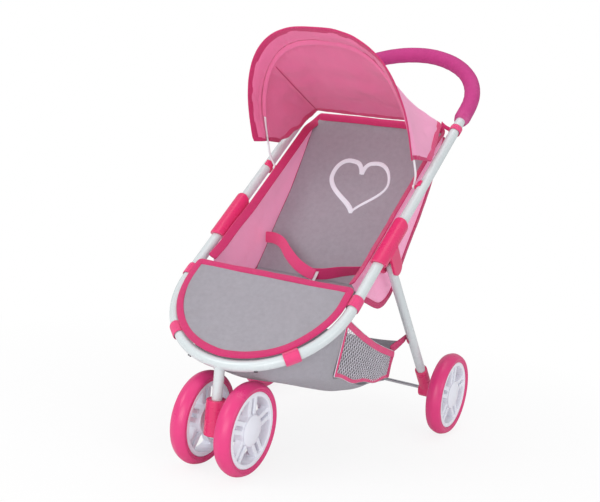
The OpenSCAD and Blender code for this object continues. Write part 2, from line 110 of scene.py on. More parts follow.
def lerp(a, b, f):
    return a + (b - a) * f


def smooth(f):
    f = min(max(f, 0), 1)
    return f * f * (3 - 2 * f)


# ---------- shader node groups ----------


class Wiring:
    """Short ways to add and join nodes in one tree."""

    def __init__(self, tree):
        self.tree = tree

    def put(self, socket, value):
        if isinstance(value, bpy.types.NodeSocket):
            self.tree.links.new(value, socket)
        elif value is not None:
            socket.default_value = value

    def fill(self, sockets, values):
        """Puts values or links in sockets by name or number."""
        for key, value in dict(values).items():
            self.put(sockets[key], value)

    def add(self, kind, values=(), **settings):
        node = self.tree.nodes.new("ShaderNode" + kind)
        for key, value in settings.items():
            setattr(node, key, value)
        self.fill(node.inputs, values)
        return node

    def times(self, a, b):
        return self.math("MULTIPLY", a, b)

    def plus(self, a, b):
        return self.math("ADD", a, b)

    def math(self, operation, *values, clamp=False):
        return self.add("Math", enumerate(values), operation=operation, use_clamp=clamp).outputs[0]

    def scale(self, vector, factor):
        return self.add("VectorMath", {0: vector, "Scale": factor}, operation="SCALE").outputs[0]

    def noise(self, vector, scale, detail=2.0, roughness=0.5):
        sockets = {"Vector": vector, "Scale": scale, "Detail": detail, "Roughness": roughness}
        return self.add("TexNoise", sockets).outputs["Fac"]

    def spread(self, *values):
        """Maps a value in low..high to 0..1 or to the range given, held at the ends."""
        return self.add("MapRange", enumerate(values)).outputs[0]

    def mix(self, factor, a, b):
        return self.add("Mix", {0: factor, 6: a, 7: b}, data_type="RGBA").outputs[2]

    def bump(self, height, distance, normal=None):
        return self.add("Bump", {"Height": height, "Distance": distance, "Normal": normal}).outputs["Normal"]


def new_group(name, inputs, outputs):
    """An empty shader group. Each socket's name comes with its kind, or with a number where it is a value."""
    tree = bpy.data.node_groups.new(name, "ShaderNodeTree")
    for way, sockets in (("INPUT", inputs), ("OUTPUT", outputs)):
        for label, kind in sockets.items():
            is_value = isinstance(kind, float)
            socket_type = "NodeSocket" + ("Float" if is_value else kind)
            socket = tree.interface.new_socket(name=label, in_out=way, socket_type=socket_type)
            if is_value:
                socket.default_value = kind
    return Wiring(tree), tree.nodes.new("NodeGroupInput").outputs, tree.nodes.new("NodeGroupOutput").inputs


def make_mottle():
    """Uneven dye or pigment: the colour lightens and darkens in soft patches."""
    w, given, result = new_group(
        "uneven_colour", {"Vector": "Vector", "Colour": "Color", "Patch Scale": 12.0, "Amount": 0.1},
        {"Colour": "Color", "Patch": 0.0})
    broad = w.noise(given["Vector"], given["Patch Scale"], 3.0)
    fine = w.noise(given["Vector"], w.times(given["Patch Scale"], 9.0), 2.0)
    both = w.plus(w.times(broad, 0.65), w.times(fine, 0.35))
    centred = w.math("SUBTRACT", both, 0.5)
    gain = w.plus(1.0, w.times(centred, w.times(given["Amount"], 2.0)))
    w.fill(result, {"Colour": w.scale(given["Colour"], gain), "Patch": both})
    return w.tree


def make_weave():
    """Plain weave on a flat pattern in metres: threads pass over and under each other."""
    w, given, result = new_group(
        "plain_weave", {"Pattern": "Vector", "Threads per Metre": 1500.0, "Slub": 0.3},
        {"Height": 0.0, "Shade": 0.0})
    split = w.add("SeparateXYZ", {0: w.scale(given["Pattern"], given["Threads per Metre"])})
    warp = w.math("SINE", w.times(split.outputs["X"], pi))
    weft = w.math("SINE", w.times(split.outputs["Y"], pi))
    over = w.math("MULTIPLY_ADD", w.times(warp, weft), 3.0, 0.5, clamp=True)
    warp_top = w.times(w.math("ABSOLUTE", warp), over)
    weft_top = w.times(w.math("ABSOLUTE", weft), w.math("SUBTRACT", 1.0, over))
    slub = w.noise(given["Pattern"], 420.0, 2.0)
    thick = w.times(w.math("SUBTRACT", slub, 0.5), given["Slub"])
    height = w.plus(w.plus(warp_top, weft_top), thick)
    w.fill(result, {"Height": height, "Shade": w.spread(height, 0.0, 1.0, 0.82, 1.05)})
    return w.tree


def make_grain():
    """The fine grain of a moulded or foamed skin."""
    w, given, result = new_group(
        "moulded_grain", {"Vector": "Vector", "Grain Scale": 900.0, "Pore Scale": 350.0, "Pores": 0.3},
        {"Height": 0.0})
    grain = w.noise(given["Vector"], given["Grain Scale"], 3.0)
    cells = w.add("TexVoronoi", {"Vector": given["Vector"], "Scale": given["Pore Scale"]})
    pores = w.times(cells.outputs["Distance"], given["Pores"])
    w.put(result["Height"], w.plus(grain, pores))
    return w.tree


def make_edges():
    """Handling marks: raised edges are rubbed a little paler. Hollows are painted a little darker."""
    w, given, result = new_group(
        "rubbed_edges", {"Vector": "Vector", "Colour": "Color", "Rub": 0.3, "Dust": 0.2},
        {"Colour": "Color", "Rubbed": 0.0})
    shape = w.add("NewGeometry").outputs["Pointiness"]
    patch = w.noise(given["Vector"], 60.0, 3.0)
    rubbed = w.times(w.spread(shape, 0.515, 0.58), w.spread(patch, 0.35, 0.65))
    rubbed = w.times(rubbed, given["Rub"])
    # Hollows are painted darker, towards a dark pinkish grey.
    hollow = w.times(w.spread(shape, 0.49, 0.44), given["Dust"])
    pale = w.mix(rubbed, given["Colour"], (1.0, 0.96, 0.97, 1))
    w.fill(result, {"Colour": w.mix(hollow, pale, (0.20, 0.12, 0.14, 1)), "Rubbed": rubbed})
    return w.tree


MOTTLE, WEAVE, GRAIN, EDGES = make_mottle(), make_weave(), make_grain(), make_edges()

# ---------- materials ----------


def srgb(*screen):
    """A screen colour, 11 to 255, as the linear colour that shaders use."""
    return (*(((value / 255 + 0.055) / 1.055) ** 2.4 for value in screen), 1.0)


def start_material(name):
    material = bpy.data.materials.new(name)
    material.use_nodes = True
    w = Wiring(material.node_tree)
    return material, w, w.tree.nodes["Principled BSDF"], w.add("TexCoord").outputs["Object"]


def place_group(w, group, **values):
    """Puts a node group in a material; value names have their spaces as underscores."""
    sockets = {label.replace("_", " "): value for label, value in values.items()}
    return w.add("Group", sockets, node_tree=group).outputs


def hard_finish(name, colour, roughness, bump=0.00003, grain_scale=900.0, pores=0.0, mottle=0.05,
                rub=0.25, hollow_darkening=0.1, coat=0.0, metallic=0.0, specular=0.5, scuff=0.08, patch_scale=14.0):
    """Paint, moulded plastic, rubber or steel."""
    material, w, shader, place = start_material(name)
    dyed = place_group(w, MOTTLE, Vector=place, Colour=colour, Patch_Scale=patch_scale, Amount=mottle)
    worn = place_group(w, EDGES, Vector=place, Colour=dyed["Colour"], Rub=rub, Dust=hollow_darkening)
    wiped = w.spread(w.noise(place, 35.0, 4.0, 0.6), 0.3, 0.7, roughness - scuff, roughness + scuff)
    rubbed = w.times(worn["Rubbed"], 0.1)
    grain = place_group(w, GRAIN, Vector=place, Grain_Scale=grain_scale, Pore_Scale=grain_scale * 0.4,
                        Pores=pores)
    w.fill(shader.inputs, {
        "Base Color": worn["Colour"], "Roughness": w.math("ADD", wiped, rubbed, clamp=True),
        "Normal": w.bump(grain["Height"], bump), "Metallic": metallic, "Specular IOR Level": specular,
        "Coat Weight": coat, "Coat Roughness": 0.12})
    return material


def cloth_finish(name, colour, threads=1300.0, bump=0.00018, mottle=0.10, slub=0.35,
                 patch_scale=16.0, crease=0.0, glow=0.0):
    """Woven cloth or tape on a flat pattern in metres. glow is a painted glow: the cloth emits its own dyed
    colour, which lightens its shaded side.
    """
    material, w, shader, place = start_material(name)
    flat = w.add("UVMap", uv_map="pattern")
    dyed = place_group(w, MOTTLE, Vector=place, Colour=colour, Patch_Scale=patch_scale, Amount=mottle)
    weave = place_group(w, WEAVE, Pattern=flat.outputs["UV"], Threads_per_Metre=threads, Slub=slub)
    creased = w.bump(w.noise(place, 26.0, 2.5, 0.45), crease) if crease else None
    w.fill(shader.inputs, {
        "Base Color": w.scale(dyed["Colour"], weave["Shade"]),
        "Roughness": w.spread(dyed["Patch"], 0.3, 0.7, 0.72, 0.84),
        "Normal": w.bump(weave["Height"], bump, creased), "Specular IOR Level": 0.3,
        "Sheen Weight": 0.25, "Sheen Roughness": 0.45})
    # Painted glow: the dyed colour is emitted, lightening the cloth's shaded side.
    if glow:
        w.fill(shader.inputs, {"Emission Color": dyed["Colour"], "Emission Strength": glow})
    return material


PAINTED_TUBE = hard_finish("white_enamel_tube", srgb(206, 214, 216), 0.27, bump=0.00002,
                           grain_scale=300, mottle=0.03, rub=0.0, hollow_darkening=0.0, coat=0.35)
STEEL = hard_finish("zinc_steel", srgb(192, 193, 198), 0.34, bump=0.00002, mottle=0.12, rub=0.1,
                    metallic=1.0)
SCREW = hard_finish("dark_screw_steel", srgb(96, 94, 100), 0.4, mottle=0.15, metallic=1.0)
RIM_WHITE = hard_finish("white_rim_plastic", srgb(238, 240, 249), 0.38, mottle=0.035, rub=0.1,
                        hollow_darkening=0.12)
TYRE_PINK = hard_finish("pink_tyre_rubber", srgb(220, 54, 122), 0.36, bump=0.00005,
                        grain_scale=500, mottle=0.10, rub=0.08, scuff=0.1)
PINK_PLASTIC = hard_finish("pink_moulded_plastic", srgb(222, 48, 108), 0.30, mottle=0.06,
                           rub=0.15, hollow_darkening=0.15)
GRIP_FOAM = hard_finish("magenta_grip_foam", srgb(190, 58, 130), 0.72, bump=0.00035,
                        grain_scale=420, pores=0.7, mottle=0.16, rub=0.1, hollow_darkening=0.2, specular=0.3,
                        patch_scale=30.0)
WIRE_WHITE = hard_finish("white_wire_coating", srgb(232, 232, 236), 0.3, mottle=0.03, rub=0.0)
# The glow values below are painted glows that lighten each cloth's shaded side.
GREY_CLOTH = cloth_finish("grey_seat_cloth", srgb(158, 155, 163), mottle=0.20, slub=0.55,
                          patch_scale=170.0, crease=0.0022, glow=0.11)
PALE_PINK_CLOTH = cloth_finish("light_pink_panel_cloth", srgb(244, 166, 202),
                               crease=0.0016, glow=0.24)
DARK_TAPE = cloth_finish("dark_pink_edge_tape", srgb(212, 48, 112), threads=900.0,
                         bump=0.00025, mottle=0.14)
BRIGHT_TAPE = cloth_finish("bright_pink_strap_tape", srgb(240, 74, 134), threads=800.0,
                           bump=0.0003)
HOOD_CLOTH = cloth_finish("pink_hood_cloth", srgb(242, 162, 200), crease=0.0018, glow=0.16)
HOOD_INNER = cloth_finish("pink_hood_lining", srgb(222, 108, 152), crease=0.0018, glow=0.22)
TAB_WHITE = cloth_finish("white_belt_tab", srgb(238, 232, 238), threads=700.0, bump=0.0003)
THREAD_WHITE = cloth_finish("white_embroidery_thread", srgb(242, 248, 255), threads=1600.0,
                            bump=0.0003, glow=0.10)
MESH_CLOTH = cloth_finish("grey_mesh_cloth", srgb(236, 232, 242), threads=450.0, bump=0.0006)

for finish, node_names in {
    PAINTED_TUBE: ["front_tube", "handle_tube", "fork_stem", "rear_leg_right", "rear_leg_left"],
    STEEL: ["hinge_pin_right", "hinge_pin_left", "caster_clip", "front_axle", "axle_clips_front", "rear_axle",
            "axle_clips_rear"],
    SCREW: ["tube_screws"],
}.items():
    for node_name in node_names:
        slots = frame["nodes"][node_name].data.materials
        slots.clear()
        slots.append(finish)

# ---------- studio ----------


def add_object(name, data):
    thing = bpy.data.objects.new(name, data)
    bpy.context.scene.collection.objects.link(thing)
    return thing


def build_camera():
    camera = add_object("studio_camera", bpy.data.cameras.new("studio_camera"))
    right = Vector((0.8669, 0.4886, 0.0991)).normalized()
    forward = Vector((-0.4732, 0.8689, -0.1450)).normalized()
    up = right.cross(forward).normalized()
    turn = Matrix((right, up, -forward)).transposed().to_4x4()
    camera.matrix_world = Matrix.Translation((0.6566, -1.2719, 0.4658)) @ turn
    camera.data.sensor_width = 36
    camera.data.lens = 62.15
    camera.data.clip_start = 0.05
    bpy.context.scene.camera = camera


def build_floor():
    """A pale floor that fades to the backdrop's white away from the stroller."""
    bm = bmesh.new()
    bmesh.ops.create_circle(bm, cap_ends=True, segments=64, radius=9)
    mesh = bpy.data.meshes.new("studio_floor")
    bm.to_mesh(mesh)
    bm.free()
    floor = add_object("studio_floor", mesh)
    material, w, shader, place = start_material("pale_floor")
    distance = w.add("VectorMath", {0: place}, operation="LENGTH").outputs["Value"]
    seen = w.add("LightPath").outputs["Is Camera Ray"]
    white = w.times(w.spread(distance, 0.20, 0.75, 0.84, 1.0), seen)
    w.fill(shader.inputs, {"Base Color": (0.93, 0.93, 0.94, 1), "Roughness": 0.9})
    glow = w.add("Emission", {"Color": (1, 1, 1, 1)})
    blend = w.add("MixShader", {0: white, 1: shader.outputs[0], 2: glow.outputs[0]})
    w.put(w.tree.nodes["Material Output"].inputs["Surface"], blend.outputs[0])
    mesh.materials.append(material)


def build_surroundings():
    """Even white surroundings: full white to the camera, softer as a light."""
    sky = bpy.data.worlds.new("studio_surroundings")
    bpy.context.scene.world = sky
    sky.use_nodes = True
    w = Wiring(sky.node_tree)
    seen = w.add("LightPath").outputs["Is Camera Ray"]
    strength = w.spread(seen, 0.0, 1.0, 0.62, 1.0)
    w.fill(w.tree.nodes["Background"].inputs, {"Color": (1, 1, 1, 1), "Strength": strength})


def soft_light(name, place, target_height, size, power):
    """A round softbox that faces the stroller's middle at target_height."""
    light = bpy.data.lights.new(name, "AREA")
    light.shape = "DISK"
    light.size = size
    light.energy = power
    place = Vector(place)
    way = Vector((0, 0, target_height)) - place
    turn = way.to_track_quat("-Z", "Y").to_matrix().to_4x4()
    add_object(name, light).matrix_world = Matrix.Translation(place) @ turn


bpy.context.scene.view_settings.view_transform = "Standard"
bpy.context.scene.view_settings.look = "None"
build_camera()
build_floor()
build_surroundings()
soft_light("key_softbox", (-1.1, -1.9, 1.9), 0.28, 1.3, 17)
soft_light("top_softbox", (0.1, 0.1, 2.4), 0.3, 1.6, 8)
soft_light("fill_softbox", (2.2, -0.9, 1.0), 0.28, 1.4, 8)
soft_light("front_softbox", (0.5, -2.7, 0.75), 0.36, 1.5, 20)

# ---------- making pieces ----------


def new_piece(name, bm, finish, body=None, stands_for=()):
    """Turns a bmesh into a smooth-shaded piece that rides on a body and stands for CAD nodes."""
    mesh = bpy.data.meshes.new(name)
    bm.to_mesh(mesh)
    bm.free()
    mesh.materials.append(finish)
    mesh.polygons.foreach_set("use_smooth", [True] * len(mesh.polygons))
    piece = add_object(name, mesh)
    return attach(piece, body, stands_for)


def attach(piece, body, stands_for):
    if body:
        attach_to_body(piece, body)
    if stands_for:
        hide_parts(*stands_for)
    return piece


def bmesh_of(mesh):
    bm = bmesh.new()
    bm.from_mesh(mesh)
    return bm


def shaped_mesh(thing):
    """A mesh of an object with its modifiers or its bevel in place."""
    bpy.context.view_layer.update()
    depsgraph = bpy.context.evaluated_depsgraph_get()
    return bpy.data.meshes.new_from_object(thing.evaluated_get(depsgraph), preserve_all_data_layers=True,
                                           depsgraph=depsgraph)


def settle(piece):
    """Puts the piece's modifiers into its mesh."""
    old, piece.data = piece.data, shaped_mesh(piece)
    piece.modifiers.clear()
    bpy.data.meshes.remove(old)
    piece.data.name = piece.name
    return piece


def add_modifier(piece, kind, **values):
    modifier = piece.modifiers.new(kind.lower(), kind)
    for key, value in values.items():
        setattr(modifier, key, value)
    return modifier


def tidy_normals(bm):
    bmesh.ops.remove_doubles(bm, verts=bm.verts, dist=0.001 * MM)
    bmesh.ops.recalc_face_normals(bm, faces=bm.faces)


def moulded(name, node, finish, body, voxel, rounding, cuts=()):
    """A moulded part with soft edges and fillets: its CAD shape, cut by planes (place, facing)."""
    bm = bmesh_of(frame["nodes"][node].data)
    bmesh.ops.remove_doubles(bm, verts=bm.verts, dist=0.01 * MM)
    for place, facing in cuts:
        everything = bm.verts[:] + bm.edges[:] + bm.faces[:]
        cut = bmesh.ops.bisect_plane(bm, geom=everything, plane_co=place, plane_no=facing, clear_outer=True)
        rim = [e for e in cut["geom_cut"] if isinstance(e, bmesh.types.BMEdge)]
        bmesh.ops.edgenet_fill(bm, edges=rim)
    piece = new_piece(name, bm, finish, body, [node])
    add_modifier(piece, "REMESH", mode="VOXEL", voxel_size=voxel * MM, use_smooth_shade=True)
    add_modifier(piece, "SMOOTH", factor=0.5, iterations=rounding)
    return settle(piece)


def spun(name, outline, centre, finish, body, stands_for=(), steps=96, facing=1):
    """A round piece on an axle: outline is a closed list of (radius, distance along X) in millimetres."""
    bm = bmesh.new()
    verts = [bm.verts.new(centre + world(facing * along, 0, radius)) for radius, along in outline]
    edges = [bm.edges.new((a, b)) for a, b in zip(verts, verts[1:] + verts[:1])]
    bmesh.ops.spin(bm, geom=verts + edges, cent=centre, axis=(1, 0, 0), dvec=(0, 0, 0),
                   angle=2 * pi, steps=steps, use_merge=True, use_duplicate=False)
    tidy_normals(bm)
    return new_piece(name, bm, finish, body, stands_for)


def rod(name, path, radius, finish, body, stands_for=(), closed=False, sides=10):
    """A round rod along a path in metres, made on a curve."""
    curve = bpy.data.curves.new(name, "CURVE")
    curve.dimensions = "3D"
    curve.bevel_depth = radius * MM
    curve.bevel_resolution = sides // 2
    curve.use_fill_caps = not closed
    spline = curve.splines.new("POLY")
    spline.points.add(len(path) - 1)
    for point, place in zip(spline.points, path):
        point.co = (*place, 1)
    spline.use_cyclic_u = closed
    holder = add_object(name, curve)
    bm = bmesh_of(shaped_mesh(holder))
    bpy.data.objects.remove(holder)
    tidy_normals(bm)
    return new_piece(name, bm, finish, body, stands_for)


# ---------- wheels ----------

# Half of a tyre's section as (height over the rim, distance along X): flat lip, fine groove, shoulder, tread
TYRE_HALF = [(0, 9.2), (0.5, 10.2), (1.2, 10.7), (2.4, 10.8), (2.9, 10.6), (3.2, 10.2), (3.5, 10.5),
             (4, 11.1), (5.2, 11.5), (6.6, 11), (8, 9.6), (9.3, 7.5), (10.4, 4.9), (11.2, 2.4)]
TREAD_FROM, TREAD_TO = 6, 11.5
HUB_CAP = [(0, 4.0), (12, 4.0), (14, 6.6), (18.4, 8.6), (19.5, 8.9), (19.9, 9.2), (19.8, 9.6), (19.2, 9.9),
           (17, 10.5), (14, 11.2), (10, 11.8), (6, 12.2), (2.5, 12.4), (0, 12.45)]


def tyre_radius(height):
    """The tread's part of the section is fitted to the wheel's radius."""
    stretch = WHEEL_R / (RIM_R + TREAD_TO) if height > TREAD_FROM else 1
    return (RIM_R + height) * stretch


for end in ("front", "rear"):
    for sign, side in SIDES:
        name, body, hub = f"{end}_{side}", f"{end}_wheel_{side}", middle(f"{end}_tyre_{side}")
        half = [(tyre_radius(height), x) for height, x in TYRE_HALF]
        outline = [(RIM_R, -3), (RIM_R, 3)] + half + [(WHEEL_R, 0)] + [(r, -x) for r, x in reversed(half)]
        tyre = spun(f"tyre_{name}", outline, hub, TYRE_PINK, body, [f"{end}_tyre_{side}"], facing=sign)
        add_modifier(tyre, "SUBSURF", levels=1, render_levels=1)
        moulded(f"rim_{name}", f"{end}_rim_{side}", RIM_WHITE, body, 0.75, 4)
        spun(f"hub_cap_{name}", HUB_CAP, hub, RIM_WHITE, body, [f"{end}_hub_cap_{side}"], 64, sign)

# ---------- moulded fittings ----------


def plane_cut(sign, s, along, rise):
    """A cutting plane through s on a side tube that faces along the tube, tipped by rise out of the plane."""
    return at(sign * BOW_R, s, 0), (PLANE_S * along + PLANE_H * rise).normalized()


for sign, side in SIDES:
    # The sleeve's ends are cut on a slant, longer above than below
    moulded(f"hinge_housing_shell_{side}", f"hinge_housing_{side}", PINK_PLASTIC, "frame", 0.8, 7,
            [plane_cut(sign, 154, 1, -0.42), plane_cut(sign, 80, -1, -0.42)])
    moulded(f"rear_foot_shell_{side}", f"rear_foot_{side}", PINK_PLASTIC, "rear_frame", 0.7, 6)
    moulded(f"canopy_clip_shell_{side}", f"canopy_clip_{side}", PINK_PLASTIC, "frame", 0.45, 3)
moulded("caster_block_shell", "caster_block", PINK_PLASTIC, "caster", 0.7, 6)


def weld_bead():
    """The bead of weld that runs round the fork stem where it meets the bow."""
    low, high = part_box("fork_stem")
    stem_r = (high.x - low.x) / 2 / MM + 0.2
    bow_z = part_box("front_tube")[0].z / MM + TUBE_R
    path = []
    for i in range(40):
        x, y = stem_r * cos(2 * pi * i / 40), stem_r * sin(2 * pi * i / 40)
        # the joint rises where the bow curves away behind the stem
        path.append(world(x, STEM_Y + y, bow_z - 0.98 * sqrt(max(TUBE_R ** 2 - y * y, 0))))
    rod("fork_weld", path, 1.1, PAINTED_TUBE, "frame", closed=True)


weld_bead()


def handle_grip():
    """The foam grip: a soft sleeve, a little uneven, with rounded ends and faint creases inside the bends."""
    low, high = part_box("handle_grip")
    grip_r = (high.x - low.x) / 2 - BOW_R * MM
    tail = [(BOW_R, SIDE_LEN - 28 + 7 * i, 0) for i in range(4)]
    bow = [(BOW_R * cos(pi * i / 56), SIDE_LEN + BOW_R * sin(pi * i / 56), 0) for i in range(57)]
    path = [at(*p) for p in tail + bow + [(-x, s, h) for x, s, h in reversed(tail)]]
    grip = rod("foam_grip_sleeve", path, grip_r / MM, GRIP_FOAM, "frame", ["handle_grip"], sides=22)
    bm = bmesh_of(grip.data)
    centre = at(0, SIDE_LEN, 0)
    for vert in bm.verts:
        away = vert.co - centre
        s, x = away.dot(PLANE_S), away.x
        turn = atan2(s, x) if s > 0 else 0
        if s > 0:
            on_line = centre + BOW_R * MM * (PLANE_X * cos(turn) + PLANE_S * sin(turn))
        else:
            on_line = centre + PLANE_S * s + PLANE_X * copysign(BOW_R * MM, x)
        out = vert.co - on_line
        inner = smooth(-out.normalized().dot((on_line - centre).normalized())) if out.length > 1e-6 else 0
        crease = sin(turn * 46) * 0.22 * inner
        uneven = noise(vert.co * 26) * 0.35 + noise(vert.co * 90) * 0.12
        end_round = 1 - 0.16 * smooth((-s / MM - 24.5) / 3.5)
        vert.co = on_line + out * (1 + (uneven + crease) * MM / grip_r) * end_round
    bm.to_mesh(grip.data)
    bm.free()
    return grip


grip = handle_grip()

# ---------- cloth ----------


def through(points, f):
    """The point at fraction f along a smooth line through points."""
    points = [Vector(p) for p in points]
    spans = [(b - a).length for a, b in zip(points, points[1:])]
    want = min(max(f, 0), 1) * sum(spans)
    i = 0
    while i < len(spans) - 1 and want > spans[i]:
        want -= spans[i]
        i += 1
    a, b = points[i], points[i + 1]
    into = out = b - a
    if i:
        into = (b - points[i - 1]) * spans[i] / (spans[i] + spans[i - 1])
    if i + 1 < len(spans):
        out = (points[i + 2] - a) * spans[i] / (spans[i] + spans[i + 1])
    t = want / spans[i]
    return (a * (2 * t ** 3 - 3 * t * t + 1) + into * (t ** 3 - 2 * t * t + t)
            + b * (3 * t * t - 2 * t ** 3) + out * (t ** 3 - t * t))


def run_along(place):
    """Distances along a line place(0..1): a function from a fraction to metres."""
    places = [place(i / 48) for i in range(49)]
    totals = list(accumulate([(b - a).length for a, b in zip(places, places[1:])], initial=0.0))

    def run(f):
        i = min(int(f * 48), 47)
        return lerp(totals[i], totals[i + 1], f * 48 - i)
    return run


def grid_sheet(name, columns, rows, shape, finish, stands_for=(), thickness=1.0, body="frame", lining=None,
               closed=False):
    """A sheet shaped by shape(u, v), with its pattern laid flat in metres. closed joins v = 1 to v = 0."""
    bm = bmesh.new()
    bmesh.ops.create_grid(bm, x_segments=columns, y_segments=rows, size=1)
    pattern = bm.loops.layers.uv.new("pattern")
    across, down = run_along(lambda f: shape(f, 0.5)), run_along(lambda f: shape(0.5, f))
    spot = {v: ((v.co.x + 1) / 2, (v.co.y + 1) / 2) for v in bm.verts}
    for face in bm.faces:
        for loop in face.loops:
            u, v = spot[loop.vert]
            loop[pattern].uv = (across(u), down(v))
    for vert, (u, v) in spot.items():
        vert.co = shape(u, v)
    if closed:
        bmesh.ops.remove_doubles(bm, verts=bm.verts, dist=0.01 * MM)
        bmesh.ops.holes_fill(bm, edges=[e for e in bm.edges if e.is_boundary], sides=0)
        bmesh.ops.recalc_face_normals(bm, faces=bm.faces)
    piece = new_piece(name, bm, finish)
    if not closed:
        solid = add_modifier(piece, "SOLIDIFY", thickness=thickness * MM, offset=0)
        if lining is not None:
            piece.data.materials.append(lining)
            solid.material_offset = 1
    add_modifier(piece, "SUBSURF", levels=1, render_levels=1)
    return attach(settle(piece), body, stands_for)


def band(name, line, ring, finish, stands_for, body, steps, ruffle=0.0):
    """A closed section, ring, run along a line. line(f) gives a point and the unit direction of its width."""
    ring = ring + ring[:1]
    places = [line(i / steps) for i in range(steps + 1)]

    def shape(u, v):
        i = round(u * steps)
        place, inward = places[i]
        ahead, behind = places[min(i + 1, steps)][0], places[max(i - 1, 0)][0]
        face = (ahead - behind).normalized().cross(inward).normalized()
        a, b = ring[round(v * (len(ring) - 1))]
        return place + inward * (a * MM) + face * ((b + noise(place * 55) * ruffle) * MM)

    return grid_sheet(name, steps, len(ring) - 1, shape, finish, stands_for, body=body, closed=True)


def tape(name, spine, width, thick, finish, steps, ruffle, stands_for=(), body="frame"):
    """Tape folded over an edge, with a full outer fold, a fine stitched groove and a slim inner edge."""
    half = [(0.0, 0.0), (0.04, 0.36), (0.16, 0.5), (0.45, 0.46), (0.74, 0.42), (0.80, 0.28), (0.86, 0.36),
            (0.96, 0.30), (1.0, 0.0)]
    ring = [(a * width, b * thick) for a, b in half + [(a, -b) for a, b in reversed(half[1:-1])]]
    return band(name, spine, ring, finish, stands_for, body, steps, ruffle)


def strap(name, route, width, thick, finish, steps, stands_for=(), body="frame"):
    """Flat webbing, with its line in its middle."""
    half = [(-1, 0.2), (-0.94, 0.5), (0, 0.5), (0.94, 0.5), (1, 0.2)]
    ring = [(a * width / 2, b * thick) for a, b in half + [(a, -b) for a, b in reversed(half)]]
    return band(name, route, ring, finish, stands_for, body, steps)


def sag(value, spread):
    """1 in the middle of -spread..spread, easing to 0 at its ends."""
    return max(1 - (value / spread) ** 2, 0)


def folds(place, scale, depth):
    """Soft creases in cloth, in metres."""
    return noise(place * scale) * depth * MM


# ---------- seat ----------

SEAT_X = 105
# Middle lines of the two panels as (s, h, 0), from the hem down to the crease and on to the front
BACK_LINE = [(358, -6, 0), (300, -31, 0), (244, -53, 0), (182, -70, 0), (140, -84, 0), (113, -91, 0)]
BASE_LINE = [(111, -90.5, 0), (96, -88, 0), (81, -79, 0), (60, -47, 0), (36, -7, 0)]


def back_point(u, v):
    """The back panel: it hangs between its side seams and dishes a little in the middle."""
    s, h, _ = through(BACK_LINE, v)
    x = lerp(-SEAT_X, SEAT_X, u)
    x *= 1 - 0.06 * smooth(1 - v / 0.05) * abs(2 * u - 1) ** 6
    place = at(x, s, h - 3.6 * sag(x, SEAT_X) * sin(pi * min(v * 1.05, 1)) ** 0.8)
    hang = folds(place, 11, 1.6) + folds(place + Vector((3, 1, 2)), 26, 0.7)
    pull = 0.5 * MM * sin(x * 0.16 + v * 5) * smooth((v - 0.72) / 0.28) * sag(x, SEAT_X)
    edge = min(u, 1 - u, v * 2, (1 - v) * 2)
    return place + PLANE_H * (hang + pull) * smooth(edge * 8)


def base_point(u, v):
    s, h, _ = through(BASE_LINE, v)
    x = lerp(-SEAT_X, SEAT_X, u)
    place = at(x, s, h - 3.0 * sag(x, SEAT_X) * sin(pi * v) ** 0.8)
    edge = min(u, 1 - u, v, 1 - v)
    return place + PLANE_H * (folds(place, 14, 1.4) + folds(place, 34, 0.5)) * smooth(edge * 8)


def crease_point(u, v):
    """A strip of cloth sewn behind the crease, where the back and the base meet."""
    low, high = base_point(u, 0.09), back_point(u, 0.955)
    crease = back_point(u, 1).lerp(base_point(u, 0), 0.5)
    place = high.lerp(crease, v * 2) if v < 0.5 else crease.lerp(low, v * 2 - 1)
    return place - (PLANE_H * 0.8 - PLANE_S * 0.3) * 1.5 * MM


back = grid_sheet("seat_back_cloth", 70, 84, back_point, GREY_CLOTH, ["seat_back"], 1.3)
base = grid_sheet("seat_base_cloth", 60, 44, base_point, GREY_CLOTH, ["seat_base"], 1.3)
crease_strip = grid_sheet("seat_crease_strip", 60, 8, crease_point, GREY_CLOTH, thickness=0.9)

# Lower edge of a side panel: under the base, round the crease and up the back
PANEL_LOW = BASE_LINE[::-1] + BACK_LINE[::-1]
PANEL_FROM, PANEL_TO = 38, 354


def panel_low(s):
    """Height of the side panel's lower edge above distance s."""
    for (s0, h0, _), (s1, h1, _) in zip(PANEL_LOW, PANEL_LOW[1:]):
        if s <= s1:
            return lerp(h0, h1, (s - s0) / (s1 - s0))
    return PANEL_LOW[-1][1]


def rail(s):
    """Where the side panel's top edge runs beside the tube: (x, h)."""
    near_tube = smooth((150 - s) / 60)
    near_hem = smooth((s - 322) / 34)
    front = smooth((70 - s) / 34)
    return 109.5 + 1.2 * near_tube - 2.0 * near_hem, 1.5 - 6.0 * near_hem + 2.0 * near_tube + 3.4 * front


def side_panel(sign, side):
    def shape(u, v):
        s = lerp(PANEL_FROM, PANEL_TO, smooth(u) * 0.35 + u * 0.65)
        rail_x, rail_h = rail(s)
        low = panel_low(s)
        belly = 1.6 * sin(pi * v) * smooth((rail_h - low) / 40)
        x = lerp(rail_x - 6.5, SEAT_X + 0.9, smooth(v * 1.4)) + belly
        place = at(sign * x, s, lerp(rail_h - 5, low, v))
        edge = min(u, 1 - u, v, 1 - v)
        return place + PLANE_X * sign * (folds(place, 13, 2.4) + folds(place, 30, 0.8)) * smooth(edge * 7)
    return grid_sheet(f"side_panel_cloth_{side}", 76, 26, shape, PALE_PINK_CLOTH, [f"side_panel_{side}"], 1.1)


def seam_tape(sign, side):
    """Tape over the seam between a side panel and the back and base, on the outside."""
    line = BACK_LINE + BASE_LINE

    def spine(f):
        s, h, _ = through(line, 0.02 + f * 0.96)
        s1, h1, _ = through(line, 0.03 + f * 0.96)
        inward = (PLANE_H * (s1 - s) - PLANE_S * (h1 - h)).normalized()
        return at(sign * (SEAT_X + 1.6), s, h) - inward * 1.4 * MM, inward
    return tape(f"seat_seam_tape_{side}", spine, 8.5, 2.6, DARK_TAPE, 84, 0.5)


